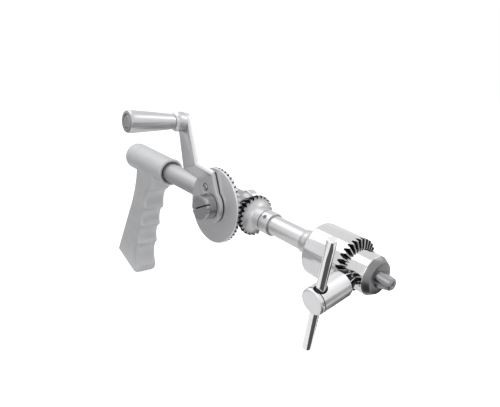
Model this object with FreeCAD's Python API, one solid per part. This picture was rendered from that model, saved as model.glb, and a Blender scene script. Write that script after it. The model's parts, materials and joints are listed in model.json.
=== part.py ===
import FreeCAD, Part
import math
import os

V = FreeCAD.Vector
X_AXIS = V(1, 0, 0)
Y_AXIS = V(0, 1, 0)
Z_AXIS = V(0, 0, 1)

# Driving sizes in mm. The drill axis is X, pointing out of the chuck, and the crank axle is Y.
# The crank sits on the -Y side. The two axes cross at the apex of the bevel gears.
GEAR_MODULE = 25.4 / 24.0
GEAR_TEETH = 48
PINION_TEETH = 24
KEY_MODULE = 1.0
RING_TEETH = 30
KEY_TEETH = 10
CRANK_RADIUS = 57.8
CRANK_LEAN = 24.1
JAW_TIP_X = 133.0

# Named clearances
RUNNING = 0.05
PRESS = 0.01
BACKLASH = 0.18

# Crank gear
GEAR_PITCH_R = GEAR_MODULE * GEAR_TEETH / 2.0
PINION_PITCH_R = GEAR_MODULE * PINION_TEETH / 2.0
GEAR_FACE_WIDTH = 7.0
DISC_FRONT_Y = -15.3
WEB_BACK_Y = -11.9
HUB_BACK_Y = -10.8
HUB_R = 9.5
AXLE_R = 5.0
BUSH_R = 6.2

# Crank arm
ARM_T = 3.3
ARM_FACE_Y = DISC_FRONT_Y - ARM_T
JOGGLE = 11.4
ARM_END_Y = ARM_FACE_Y - JOGGLE
LOBE_R = 11.8
ARM_END_R = 6.0
INNER_CREASE = 20.5
OUTER_CREASE = 28.5
ARM_SCREW_D = 13.24
ARM_SCREW_LEAN = 30.6
ARM_SCREW_R = 1.5
ARM_SCREW_HEAD_R = 2.5

# Knob
KNOB_PIN_R = 2.5
KNOB_BUSH_R = 3.4
KNOB_END_Y = -70.0
KNOB_R = 7.0
KNOB_COLLAR_R = 6.5
KNOB_COLLAR_T = 7.2

# Gear frame and axle
BLOCK_R = 11.5
BLOCK_HALF = 16.5
BLOCK_FACE_Y = -10.0
NUT_SEAT_Y = 10.5
NUT_NECK_R = 6.0
NUT_NECK_Y = 13.5
NUT_R = 7.8
NUT_END_Y = 21.0
SOCKET_DEPTH = 9.7
HEAD_R = 8.7
HEAD_FRONT_Y = -27.0
MANDREL_R = 4.0
MANDREL_END_X = 68.0
THREAD_R = 4.2
SLOT_W = 1.0

# Handle
TUBE_R = 7.7
TUBE_BORE_R = 5.4
BARREL_R = 10.9
BARREL_REAR_R = 11.6
BARREL_REAR_X = -142.0
MOUTH_X = -79.4
STEM_REAR_X = -130.5
STEM_SCREW_X = -110.0
LEG_HALF = 10.0
LEG_BEND_X = -131.7
LEG_NECK_X = -122.3

# Spindle
SPINDLE_R = 6.25
SPINDLE_BORE_R = 5.0
PINION_FRONT_X = 27.8
HUB_FRONT_X = 37.0
COLLAR_R = 7.6
COLLAR_FRONT_X = 45.0
COLLAR_SCREW_X = 41.0
COLLAR_SCREW_R = 1.5
COLLAR_SCREW_ANGLE = 138.6
FLARE_X = 72.4

# Chuck
SLEEVE_R = 15.9
SLEEVE_REAR_X = 83.3
BARREL_CHUCK_R = 13.6
BODY_REAR_X = 85.5
NOSE_R = 11.05
NOSE_EDGE_X = 121.6
NOSE_FACE_X = 125.1
NOSE_FACE_R = 8.8
WAIST_R = 9.3
MOUTH_R = 2.2
STUB_R = 5.0
STUB_END_X = 94.0
PLUG_REAR_X = 69.0
FLARE_END_X = 82.0
FLARE_R = 10.0
JAW_BORE_REAR_X = 86.3
KEY_HOLE_FLOOR_R = 6.4
KEY_HOLE_DEPTH = 6.0
NUT_SPLIT = 0.2
NUT_R_OUT = 20.0
THIRD_TURN = 120.0
SLOT_X0 = 97.0
SLOT_X1 = 103.0
JAW_R = 3.0
JAW_ANGLE = 12.0
JAW_OFFSET = 0.25
JAW_REAR_X = 96.0

# Chuck key
KEY_X = 114.2
KEY_AZIMUTH = 103.2
KEY_BODY_R = 7.1
PILOT_R = 2.7
PILOT_IN_W = 6.9
BAR_W = 34.6
BAR_R = 2.5
BAR_HALF = 38.0
BAR_LEAN = 12.0
KEY_END_WALL = 2.4
KEY_END_W = BAR_W + BAR_R + KEY_END_WALL
RUNOUT_LIFT = 3.2


def shift(shape, vector):
    moved = shape.copy()
    moved.translate(vector)
    return moved


def rod(start, direction, radius, length):
    return Part.makeCylinder(radius, length, start, direction)


def bar_x(x0, x1, radius):
    return rod(V(x0, 0, 0), X_AXIS, radius, x1 - x0)


def bar_y(y0, y1, radius, x=0.0, z=0.0):
    return rod(V(x, y0, z), Y_AXIS, radius, y1 - y0)


def box_between(low, high):
    size = V(*high) - V(*low)
    return Part.makeBox(size.x, size.y, size.z, V(*low))


def turned(points, along, radial):
    """Solid of revolution from (station, radius) pairs about the line through the origin."""
    corners = [along * s + radial * r for s, r in points]
    wire = Part.makePolygon(corners + corners[:1])
    return Part.Face(wire).revolve(V(0, 0, 0), along, 360)


def turned_x(points):
    return turned(points, X_AXIS, Z_AXIS)


def turned_y(points):
    return turned(points, Y_AXIS, X_AXIS)


def key_direction(offset=0.0):
    """Outward direction of a key hole, as an angle from +Z towards -Y."""
    a = math.radians(KEY_AZIMUTH + offset)
    return V(0, -math.sin(a), math.cos(a))


def frame_of(axis, reference, origin):
    """Placement that carries local Z onto axis and local X onto reference."""
    side = axis.cross(reference)
    m = FreeCAD.Matrix(
        reference.x, side.x, axis.x, origin.x,
        reference.y, side.y, axis.y, origin.y,
        reference.z, side.z, axis.z, origin.z,
        0, 0, 0, 1)
    return FreeCAD.Placement(m)


def involute(cosine):
    angle = math.acos(cosine)
    return math.tan(angle) - angle


def gap_profile(module, teeth, mate):
    """Tooth space of a straight bevel gear, apex at the origin, axis local Z, space towards local X.

    The involute lies on the developed back cone; each point is then carried along its ray
    from the apex to the plane square to the pitch line.
    """
    pitch_r = module * teeth / 2.0
    cone = math.atan2(teeth, mate)
    distance = pitch_r / math.sin(cone)
    back_r = pitch_r / math.cos(cone)
    base_r = back_r * math.cos(math.radians(20))
    pitch_inv = involute(math.cos(math.radians(20)))
    half_gap = (math.pi * module / 4.0 + BACKLASH / 4.0) / back_r
    line = V(math.sin(cone), 0, math.cos(cone))
    flank = []
    for height in (-1.25, -0.2, 0.6, 1.45):
        rho = back_r + height * module
        grown = involute(base_r / rho) if rho > base_r else 0.0
        angle = (half_gap + grown - pitch_inv) / math.cos(cone)
        radius = rho * math.cos(cone)
        z = distance * math.cos(cone) - (rho - back_r) * math.sin(cone)
        point = V(radius * math.cos(angle), radius * math.sin(angle), z)
        flank.append(point * (distance / point.dot(line)))
    mirrored = [V(p.x, -p.y, p.z) for p in reversed(flank)]
    return flank + mirrored


def polygon(points):
    return Part.makePolygon(points + points[:1])


def flat_sided(start, end):
    """Solid between two flat outlines of one shape, in which every side is a flat face."""
    faces = [Part.Face(polygon(start)), Part.Face(polygon(end))]
    for i in range(len(start)):
        faces.append(Part.Face(polygon([start[i - 1], start[i], end[i], end[i - 1]])))
    shell = Part.makeShell(faces)
    shell.sewShape()
    solid = Part.makeSolid(shell)
    if solid.Volume < 0.0:
        solid.reverse()
    return solid


def gap_tool(module, teeth, mate, near, far, runout=0.0):
    """Cutter for one tooth space, running along the cone from near to far times the outer distance.

    The run-out is the tail that the cutter leaves where it lifts out of a shank.
    """
    outline = gap_profile(module, teeth, mate)
    inner = [p * near for p in outline]
    outer = [p * far for p in outline]
    tool = flat_sided(inner, outer)
    if runout > 0.0:
        cone = math.atan2(teeth, mate)
        lift = V(math.cos(cone), 0, -math.sin(cone)) * (RUNOUT_LIFT * module)
        last = [p * (far + runout) + lift for p in outline]
        tool = tool.fuse(flat_sided(outer, last))
    return tool


def cut_teeth(blank, tool, teeth, placement, phase=0.0):
    tools = []
    for i in range(teeth):
        t = tool.copy()
        t.rotate(V(0, 0, 0), Z_AXIS, phase + i * 360.0 / teeth)
        t.Placement = placement.multiply(t.Placement)
        tools.append(t)
    return blank.cut(Part.makeCompound(tools))


# Frame pieces

def leg_outline():
    """Closed outline of the grip leg in the XZ plane, fingers to the front."""
    ridges = [V(-95.8, 0, -19.2), V(-101.6, 0, -38.4), V(-105.6, 0, -56.6), V(-108.8, 0, -74.3)]
    edges = [Part.LineSegment(V(-91.0, 0, 0), ridges[0]).toShape()]
    for top, low in zip(ridges, ridges[1:]):
        run = low - top
        inward = V(run.z, 0, -run.x).normalize()
        first = top + run * 0.22 + inward * 3.5
        second = top + run * 0.55 + inward * 4.1
        curve = Part.BSplineCurve()
        curve.interpolate([top, first, second, low])
        edges.append(curve.toShape())
    toe = V(-109.7, 0, -96.8)
    curve = Part.BSplineCurve()
    curve.interpolate([ridges[-1], V(-112.6, 0, -79.2), V(-113.2, 0, -86.5), toe])
    edges.append(curve.toShape())
    heel = V(-151.2, 0, -95.6)
    sole = V(-117.5, 0, -105.2)
    edges.append(Part.Arc(toe, V(-111.2, 0, -103.0), sole).toShape())
    edges.append(Part.LineSegment(sole, heel).toShape())
    bend = V(LEG_BEND_X, 0, -47.5)
    neck = V(LEG_NECK_X, 0, -14.0)
    edges.append(Part.LineSegment(heel, bend).toShape())
    edges.append(Part.Arc(bend, V(-125.5, 0, -30.5), neck).toShape())
    edges.append(Part.LineSegment(neck, V(-122.0, 0, 0)).toShape())
    edges.append(Part.LineSegment(V(-122.0, 0, 0), V(-91.0, 0, 0)).toShape())
    return Part.Wire(edges)


def leg_solid():
    outline = leg_outline()
    outline.translate(V(0, -LEG_HALF, 0))
    solid = Part.Face(outline).extrude(V(0, 2 * LEG_HALF, 0))
    corners = []
    for edge in solid.Edges:
        a = edge.Vertexes[0].Point
        b = edge.Vertexes[-1].Point
        across = abs(abs(a.y - b.y) - 2 * LEG_HALF) < 0.01
        if across and a.z < -5 and min(abs(a.x - LEG_BEND_X), abs(a.x - LEG_NECK_X)) > 0.5:
            corners.append(edge)
    solid = solid.makeFillet(1.4, corners)
    rims = []
    for edge in solid.Edges:
        ys = [v.Point.y for v in edge.Vertexes]
        if all(abs(abs(y) - LEG_HALF) < 0.01 for y in ys) and abs(ys[0] - ys[-1]) < 0.01:
            if edge.BoundBox.ZMin < -1.0:
                rims.append(edge)
    return solid.makeFillet(3.0, rims)


def grip_handle():
    r = BARREL_R
    lip_x = MOUTH_X - 1.6
    barrel = turned_x([(BARREL_REAR_X, 0), (BARREL_REAR_X, BARREL_REAR_R), (lip_x, r), (lip_x, 0)])
    rear = [e for e in barrel.Edges if abs(e.BoundBox.XMax - BARREL_REAR_X) < 0.01]
    barrel = barrel.makeFillet(5.0, rear)
    lip = Part.makeTorus(r - 0.9, 1.5, V(MOUTH_X - 1.5, 0, 0), X_AXIS)
    disc = bar_x(MOUTH_X - 3.0, MOUTH_X, r - 0.9)
    body = barrel.fuse([lip, disc, leg_solid()]).removeSplitter()
    bore = bar_x(STEM_REAR_X - 0.5, MOUTH_X + 1, TUBE_R + 0.02)
    flare = Part.makeCone(TUBE_R + 0.02, TUBE_R + 1.7, 2.6, V(MOUTH_X - 2.6, 0, 0), X_AXIS)
    screw = bar_y(0, r + 2, 2.0, STEM_SCREW_X)
    return body.cut(bore.fuse([flare, screw]))


def stem_tube():
    front = -BLOCK_HALF + SOCKET_DEPTH
    tube = bar_x(STEM_REAR_X, front, TUBE_R)
    tube = tube.cut(bar_x(STEM_REAR_X - 1, front + 1, TUBE_BORE_R))
    return tube.cut(bar_y(0, TUBE_R + 1, 1.6, STEM_SCREW_X))


def stem_screw():
    """Grub screw that holds the stem tube in the handle barrel."""
    top = BARREL_R - 0.5
    shank = bar_y(TUBE_R + 0.1, top, 1.97, STEM_SCREW_X)
    point = bar_y(TUBE_R - 2.5, TUBE_R + 0.2, 1.55, STEM_SCREW_X)
    slot = box_between((STEM_SCREW_X - 3, top - 1.2, -0.4), (STEM_SCREW_X + 3, top + 1, 0.4))
    return shank.fuse(point).cut(slot)


def gear_frame():
    h = BLOCK_HALF
    r = BLOCK_R
    block = turned_x([(-h, 0), (-h, r - 1.5), (-h + 1.5, r), (h - 2.5, r), (h, r - 2.5), (h, 0)])
    block = block.cut(box_between((-30, -20, -20), (30, BLOCK_FACE_Y, 20)))
    block = block.cut(box_between((-30, NUT_SEAT_Y, -20), (30, 20, 20)))
    block = block.cut(bar_x(-h - 1, -h + SOCKET_DEPTH, TUBE_R + 0.01))
    block = block.cut(bar_x(h - SOCKET_DEPTH, h + 1, MANDREL_R + 0.01))
    return block.cut(bar_y(-20, 20, AXLE_R + 0.02))


def mandrel():
    """Fixed shaft on which the spindle turns, with the groove that the collar screw runs in."""
    shaft = bar_x(BLOCK_HALF - SOCKET_DEPTH, MANDREL_END_X, MANDREL_R)
    tip = [e for e in shaft.Edges if abs(e.BoundBox.XMin - MANDREL_END_X) < 0.01]
    shaft = shaft.makeChamfer(0.6, tip)
    groove = bar_x(COLLAR_SCREW_X - 1.7, COLLAR_SCREW_X + 1.7, 6.0)
    core = bar_x(COLLAR_SCREW_X - 1.7, COLLAR_SCREW_X + 1.7, 3.3)
    return shaft.cut(groove.cut(core))


def axle_screw():
    seat = ARM_FACE_Y - 0.35
    head = bar_y(HEAD_FRONT_Y, seat, HEAD_R)
    rim = [e for e in head.Edges if abs(e.BoundBox.YMax - HEAD_FRONT_Y) < 0.01]
    head = head.makeFillet(0.5, rim)
    shank = bar_y(seat - 0.1, NUT_SEAT_Y - 1.0, AXLE_R)
    thread = bar_y(NUT_SEAT_Y - 1.5, NUT_END_Y - 4.0, THREAD_R)
    screw = head.fuse([shank, thread])
    half = SLOT_W / 2.0
    slot = box_between((-HEAD_R - 1, HEAD_FRONT_Y - 1, -half), (HEAD_R + 1, HEAD_FRONT_Y + 4.5, half))
    slot.rotate(V(0, 0, 0), Y_AXIS, -28)
    return screw.cut(slot)


def axle_nut():
    """Slotted cap nut with a turned neck on the far side of the frame."""
    nut = turned_y([
        (NUT_SEAT_Y, 0), (NUT_SEAT_Y, NUT_NECK_R), (NUT_NECK_Y, NUT_NECK_R), (NUT_NECK_Y, NUT_R - 0.4),
        (NUT_NECK_Y + 0.4, NUT_R), (NUT_END_Y - 1.2, NUT_R), (NUT_END_Y, NUT_R - 1.2), (NUT_END_Y, 0)])
    nut = nut.cut(bar_y(NUT_SEAT_Y - 1, NUT_END_Y - 3.5, THREAD_R + 0.02))
    half = SLOT_W / 2.0
    slot = box_between((-NUT_R - 1, NUT_END_Y - 2.0, -half), (NUT_R + 1, NUT_END_Y + 1, half))
    return nut.cut(slot)


def thrust_washer():
    ring = bar_y(BLOCK_FACE_Y - 0.7, BLOCK_FACE_Y, 8.6)
    return ring.cut(bar_y(BLOCK_FACE_Y - 1, BLOCK_FACE_Y + 1, AXLE_R + 0.02))


# Crank pieces

def crank_gear():
    cone = math.atan2(GEAR_TEETH, PINION_TEETH)
    distance = GEAR_PITCH_R / math.sin(cone)
    tip_r = GEAR_PITCH_R + GEAR_MODULE * math.cos(cone)
    tip_y = -PINION_PITCH_R + GEAR_MODULE * math.sin(cone)
    near = 1.0 - GEAR_FACE_WIDTH / distance
    drop = (WEB_BACK_Y - tip_y * near) * math.cos(cone) / math.sin(cone)
    blank = turned_y([
        (DISC_FRONT_Y, BUSH_R), (DISC_FRONT_Y, tip_r - 0.4), (DISC_FRONT_Y + 0.4, tip_r),
        (tip_y, tip_r), (tip_y * near, tip_r * near), (WEB_BACK_Y, tip_r * near + drop),
        (WEB_BACK_Y, HUB_R), (HUB_BACK_Y, HUB_R), (HUB_BACK_Y, BUSH_R)])
    tool = gap_tool(GEAR_MODULE, GEAR_TEETH, PINION_TEETH, near - 0.03, 1.10)
    place = frame_of(V(0, -1, 0), X_AXIS, V(0, 0, 0))
    gear = cut_teeth(blank, tool, GEAR_TEETH, place)
    return gear.cut(arm_screw_rod(ARM_SCREW_R + 0.02, ARM_FACE_Y, WEB_BACK_Y + 1.0))


def crank_bush():
    bush = bar_y(ARM_FACE_Y - 0.1, HUB_BACK_Y, BUSH_R)
    return bush.cut(bar_y(-30, 0, AXLE_R + RUNNING))


def crank_place(shape):
    """Turn a shape built with the arm along +Z so that the arm leans back from the drill axis."""
    turned_shape = shape.copy()
    turned_shape.rotate(V(0, 0, 0), Y_AXIS, -CRANK_LEAN)
    return turned_shape


def crank_arm():
    length = CRANK_RADIUS
    outline = []
    for station, half in ((6.0, 9.58), (INNER_CREASE, 8.6), (OUTER_CREASE, 7.2), (length - 9.0, 6.1)):
        outline.append((half, station))
    outline.append((ARM_END_R, length))
    left = [V(-s, 0, d) for s, d in reversed(outline)]
    right = [V(s, 0, d) for s, d in outline]
    plan = Part.Face(polygon(right + left)).extrude(V(0, -60, 0))
    plan = plan.fuse([bar_y(-60, 0, LOBE_R), bar_y(-60, 0, ARM_END_R, 0, length)])
    a = DISC_FRONT_Y
    b = ARM_FACE_Y
    wall = ARM_T * 0.32
    strip = [
        V(0, a, -20), V(0, a, INNER_CREASE + wall), V(0, a - JOGGLE, OUTER_CREASE + wall),
        V(0, a - JOGGLE, length + 20), V(0, b - JOGGLE, length + 20),
        V(0, b - JOGGLE, OUTER_CREASE - wall), V(0, b, INNER_CREASE - wall), V(0, b, -20)]
    sheet = Part.Face(polygon(strip)).extrude(V(60, 0, 0))
    sheet.translate(V(-30, 0, 0))
    bends = []
    for edge in sheet.Edges:
        box = edge.BoundBox
        if box.XLength > 50 and INNER_CREASE - 4 < box.ZMin < OUTER_CREASE + 4:
            bends.append(edge)
    sheet = sheet.makeFillet(1.2, bends)
    arm = plan.common(sheet)
    arm = arm.cut(bar_y(-60, 0, BUSH_R))
    arm = arm.cut(bar_y(-60, 0, KNOB_PIN_R, 0, length))
    arm = crank_place(arm)
    seat = arm_screw_rod(ARM_SCREW_HEAD_R + 0.25, -60, ARM_FACE_Y + 1.6)
    return arm.cut(arm_screw_rod(ARM_SCREW_R + 0.02, -60, 0).fuse(seat))


def arm_screw_rod(radius, y0, y1):
    lean = math.radians(ARM_SCREW_LEAN)
    return bar_y(y0, y1, radius, -ARM_SCREW_D * math.sin(lean), ARM_SCREW_D * math.cos(lean))


def arm_screw():
    """Slotted screw that keys the arm to the gear disc."""
    shank = arm_screw_rod(ARM_SCREW_R, ARM_FACE_Y + 1.5, WEB_BACK_Y - 0.5)
    head = arm_screw_rod(ARM_SCREW_HEAD_R, ARM_FACE_Y - 0.25, ARM_FACE_Y + 1.6)
    slot = box_between((-4, ARM_FACE_Y - 2, ARM_SCREW_D - 0.3), (4, ARM_FACE_Y + 0.6, ARM_SCREW_D + 0.3))
    slot.rotate(V(0, 0, ARM_SCREW_D), Y_AXIS, 60)
    slot.rotate(V(0, 0, 0), Y_AXIS, -ARM_SCREW_LEAN)
    return shank.fuse(head).cut(slot)


def knob_collar():
    y = ARM_END_Y
    end = y - KNOB_COLLAR_T
    bore = KNOB_PIN_R + 0.01
    ring = turned_y([
        (y, bore), (y, KNOB_COLLAR_R), (end + 2.0, KNOB_COLLAR_R), (end, KNOB_COLLAR_R - 1.3), (end, bore)])
    return crank_place(shift(ring, V(0, 0, CRANK_RADIUS)))


def knob_pin():
    """Riveted pin through the arm end and collar, with the broad head seen in the knob end."""
    back = DISC_FRONT_Y - JOGGLE
    pin = turned_y([
        (back + 0.3, 0), (back + 0.3, KNOB_PIN_R - 0.4), (back - 0.1, KNOB_PIN_R - 0.01),
        (KNOB_END_Y + 2.2, KNOB_PIN_R - 0.01), (KNOB_END_Y + 2.2, 3.9), (KNOB_END_Y + 0.35, 3.9),
        (KNOB_END_Y + 0.1, 3.65), (KNOB_END_Y + 0.1, 0)])
    return crank_place(shift(pin, V(0, 0, CRANK_RADIUS)))


def crank_knob():
    y = KNOB_END_Y
    r = KNOB_R
    small = ARM_END_Y - KNOB_COLLAR_T - 0.15
    knob = turned_y([
        (y, KNOB_BUSH_R), (y, r - 0.9), (y + 0.5, r - 0.35), (y + 1.5, r - 0.04), (y + 3.0, r),
        (y + 6.0, r - 0.2), (y + 16.0, r - 1.05), (y + 23.0, r - 1.6), (y + 30.0, r - 2.02),
        (small, r - 2.1), (small, KNOB_BUSH_R)])
    knob = knob.cut(bar_y(y - 1, y + 2.5, 4.25))
    return crank_place(shift(knob, V(0, 0, CRANK_RADIUS)))


def knob_bush():
    small = ARM_END_Y - KNOB_COLLAR_T - 0.15
    bush = bar_y(KNOB_END_Y + 2.5, small, KNOB_BUSH_R, 0, CRANK_RADIUS)
    bush = bush.cut(bar_y(-100, 0, KNOB_PIN_R + RUNNING, 0, CRANK_RADIUS))
    return crank_place(bush)


# Spindle pieces

def bevel_pinion():
    cone = math.atan2(PINION_TEETH, GEAR_TEETH)
    distance = PINION_PITCH_R / math.sin(cone)
    tip_r = PINION_PITCH_R + GEAR_MODULE * math.cos(cone)
    tip_x = GEAR_PITCH_R - GEAR_MODULE * math.sin(cone)
    near = 1.0 - GEAR_FACE_WIDTH / distance
    inner_r = 8.2
    inner_x = tip_x * near + (tip_r * near - inner_r) * math.tan(cone)
    hollow = [(PINION_FRONT_X, tip_r - 1.2), (28.3, 10.6), (29.4, 8.9), (31.4, COLLAR_R)]
    blank = turned_x([
        (17.8, SPINDLE_R), (17.8, inner_r), (inner_x, inner_r), (tip_x * near, tip_r * near),
        (tip_x, tip_r), (PINION_FRONT_X - 0.3, tip_r), (PINION_FRONT_X, tip_r - 0.3)] + hollow
        + [(HUB_FRONT_X - 0.2, COLLAR_R), (HUB_FRONT_X, COLLAR_R - 0.3), (HUB_FRONT_X, SPINDLE_R)])
    tool = gap_tool(GEAR_MODULE, PINION_TEETH, GEAR_TEETH, near - 0.03, 1.16)
    place = frame_of(X_AXIS, V(0, -1, 0), V(0, 0, 0))
    return cut_teeth(blank, tool, PINION_TEETH, place, 180.0 / PINION_TEETH)


def collar_screw_line(radius, start, length):
    a = math.radians(COLLAR_SCREW_ANGLE)
    out = V(0, math.cos(a), math.sin(a))
    return rod(V(COLLAR_SCREW_X, 0, 0) + out * start, out, radius, length)


def spindle_tube():
    tube = turned_x([
        (17.8, SPINDLE_BORE_R), (17.8, SPINDLE_R), (COLLAR_FRONT_X + 0.05, SPINDLE_R),
        (COLLAR_FRONT_X + 0.05, SPINDLE_R - 0.45), (COLLAR_FRONT_X + 0.9, SPINDLE_R - 0.45),
        (COLLAR_FRONT_X + 1.2, SPINDLE_R), (FLARE_X, SPINDLE_R), (FLARE_X, SPINDLE_BORE_R)])
    return tube.cut(collar_screw_line(COLLAR_SCREW_R, 0, 12))


def retaining_collar():
    ring = turned_x([
        (HUB_FRONT_X + 0.25, SPINDLE_R), (HUB_FRONT_X + 0.25, COLLAR_R - 0.3),
        (HUB_FRONT_X + 0.5, COLLAR_R), (COLLAR_FRONT_X - 2.0, COLLAR_R), (COLLAR_FRONT_X, COLLAR_R - 0.5),
        (COLLAR_FRONT_X, SPINDLE_R)])
    return ring.cut(collar_screw_line(COLLAR_SCREW_R, 0, 12))


def collar_screw():
    """Grub screw through the collar and tube into the groove of the fixed shaft."""
    screw = collar_screw_line(COLLAR_SCREW_R - 0.02, 3.5, COLLAR_R - 3.8)
    slot = box_between((COLLAR_SCREW_X - 2, -0.25, COLLAR_R - 1.2), (COLLAR_SCREW_X + 2, 0.25, COLLAR_R + 1))
    slot.rotate(V(0, 0, 0), X_AXIS, COLLAR_SCREW_ANGLE - 90)
    return screw.cut(slot)


def spindle_bush(x0, x1):
    bush = bar_x(x0, x1, SPINDLE_BORE_R)
    return bush.cut(bar_x(x0 - 1, x1 + 1, MANDREL_R + RUNNING))


def chuck_arbor():
    """Flared collar that joins the spindle tube to the chuck, with its stub in the chuck body."""
    plug = turned_x([
        (PLUG_REAR_X, 0), (PLUG_REAR_X, SPINDLE_BORE_R - PRESS), (FLARE_X, SPINDLE_BORE_R - PRESS),
        (FLARE_X, FLARE_R - 3.2), (FLARE_X + 0.4, FLARE_R - 2.9), (FLARE_END_X - 6.5, FLARE_R - 2.6),
        (FLARE_END_X - 4.5, FLARE_R - 2.1), (FLARE_END_X - 2.7, FLARE_R - 1.3),
        (FLARE_END_X - 1.4, FLARE_R - 0.3), (FLARE_END_X, FLARE_R), (BODY_REAR_X, FLARE_R),
        (BODY_REAR_X, STUB_R), (STUB_END_X - 0.6, STUB_R), (STUB_END_X, STUB_R - 0.6), (STUB_END_X, 0)])
    return plug


def jaw_azimuth(index):
    return KEY_AZIMUTH + THIRD_TURN / 2.0 + THIRD_TURN * index


def jaw_line(index):
    """A point at the jaw tip plane and the unit direction along the jaw towards the rear."""
    a = math.radians(jaw_azimuth(index))
    out = V(0, -math.sin(a), math.cos(a))
    lean = math.radians(JAW_ANGLE)
    tip = V(JAW_TIP_X, 0, 0) + out * JAW_OFFSET
    back = X_AXIS * -math.cos(lean) + out * math.sin(lean)
    return tip, back, out


def jaw_rod(index, radius, front, rear_x):
    tip, back = jaw_line(index)[:2]
    length = (JAW_TIP_X - rear_x) / math.cos(math.radians(JAW_ANGLE))
    return rod(tip - back * front, back, radius, length + front)


def chuck_body():
    r = BARREL_CHUCK_R
    body = turned_x([
        (BODY_REAR_X, STUB_R + PRESS), (BODY_REAR_X, r - 0.6), (BODY_REAR_X + 0.6, r), (SLOT_X0, r),
        (SLOT_X0, WAIST_R), (SLOT_X1, WAIST_R), (SLOT_X1, NOSE_R), (NOSE_EDGE_X, NOSE_R),
        (NOSE_FACE_X, NOSE_FACE_R), (NOSE_FACE_X, MOUTH_R), (STUB_END_X + 0.2, MOUTH_R),
        (STUB_END_X + 0.2, STUB_R + PRESS)])
    for i in range(3):
        body = body.cut(jaw_rod(i, JAW_R + RUNNING, 2.0, JAW_BORE_REAR_X))
        out = key_direction(THIRD_TURN * i)
        floor = V(KEY_X, 0, 0) + out * KEY_HOLE_FLOOR_R
        body = body.cut(rod(floor, out, PILOT_R + RUNNING, KEY_HOLE_DEPTH))
    return body


def chuck_sleeve():
    ring_r = KEY_MODULE * RING_TEETH / 2.0
    key_r = KEY_MODULE * KEY_TEETH / 2.0
    cone = math.atan2(RING_TEETH, KEY_TEETH)
    tip_r = ring_r + KEY_MODULE * math.cos(cone)
    tip_back = key_r - KEY_MODULE * math.sin(cone)
    slope = tip_back / tip_r
    bore_r = NOSE_R + RUNNING
    r = SLEEVE_R
    sleeve = turned_x([
        (SLEEVE_REAR_X, BARREL_CHUCK_R + RUNNING), (SLEEVE_REAR_X, r - 1.5), (SLEEVE_REAR_X + 0.35, r - 0.7),
        (SLEEVE_REAR_X + 1.1, r - 0.15), (SLEEVE_REAR_X + 2.0, r), (KEY_X - slope * r - 0.25, r),
        (KEY_X - slope * (r - 0.25), r - 0.25), (KEY_X - slope * bore_r, bore_r), (SLOT_X1 + 0.2, bore_r),
        (SLOT_X1 + 0.2, BARREL_CHUCK_R + RUNNING)])
    tool = gap_tool(KEY_MODULE, RING_TEETH, KEY_TEETH, 0.66, 1.12)
    place = frame_of(V(-1, 0, 0), key_direction(), V(KEY_X, 0, 0))
    return cut_teeth(sleeve, tool, RING_TEETH, place)


def jaw_nut(side):
    """One half of the split nut that drives the jaws; its bore follows the jaw cone."""
    x0 = SLOT_X0 + 0.2
    x1 = SLOT_X1 - 0.1
    lean = math.tan(math.radians(JAW_ANGLE))
    bore = JAW_OFFSET + JAW_R / math.cos(math.radians(JAW_ANGLE)) + RUNNING
    r0 = bore + (JAW_TIP_X - x0) * lean
    r1 = bore + (JAW_TIP_X - x1) * lean
    ring = turned_x([(x0, r0), (x0, BARREL_CHUCK_R + RUNNING), (x1, BARREL_CHUCK_R + RUNNING), (x1, r1)])
    gap = NUT_SPLIT / 2.0
    reach = NUT_R_OUT
    half = box_between((x0 - 1, gap, -reach), (x1 + 1, reach, reach))
    if side < 0:
        half = box_between((x0 - 1, -reach, -reach), (x1 + 1, -gap, reach))
    return ring.common(half)


def chuck_jaw(index):
    tip, back, out = jaw_line(index)
    jaw = jaw_rod(index, JAW_R, 3.0, JAW_REAR_X)
    jaw = jaw.common(box_between((80, -20, -20), (JAW_TIP_X, 20, 20)))
    edge = 0.05
    side = X_AXIS.cross(out)
    wedge = polygon([
        out * (edge * 2), out * 20 + side * 20 * math.tan(math.radians(60)),
        out * 20 - side * 20 * math.tan(math.radians(60))])
    wedge = Part.Face(wedge).extrude(V(60, 0, 0))
    jaw = jaw.common(shift(wedge, V(80, 0, 0)))
    nose = Part.makeCone(5.6, 2.6, 3.0, V(JAW_TIP_X - 3.0, 0, 0), X_AXIS)
    nose = nose.fuse(bar_x(80, JAW_TIP_X - 3.0, 25))
    jaw = jaw.common(nose)
    grooves = []
    for i in range(7):
        start = tip + back * (24.0 + 2.0 * i)
        ring = rod(start, back, JAW_R + 1, 0.9).cut(rod(start, back, JAW_R - 0.5, 0.9))
        grooves.append(ring)
    outer = box_between((-60, -6, 0.8), (60, 6, 8))
    outer.Placement = frame_of(out, X_AXIS, V(0, 0, 0))
    outer.rotate(V(0, 0, 0), X_AXIS.cross(out), -JAW_ANGLE)
    outer.translate(tip)
    cutter = Part.makeCompound(grooves).common(outer)
    return jaw.cut(cutter)


# Chuck key

def key_place(shape):
    """Carry a shape built about local Z with local X towards the sleeve onto the key axis."""
    placed = shape.copy()
    placed.Placement = frame_of(key_direction(), V(-1, 0, 0), V(KEY_X, 0, 0)).multiply(placed.Placement)
    return placed


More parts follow.
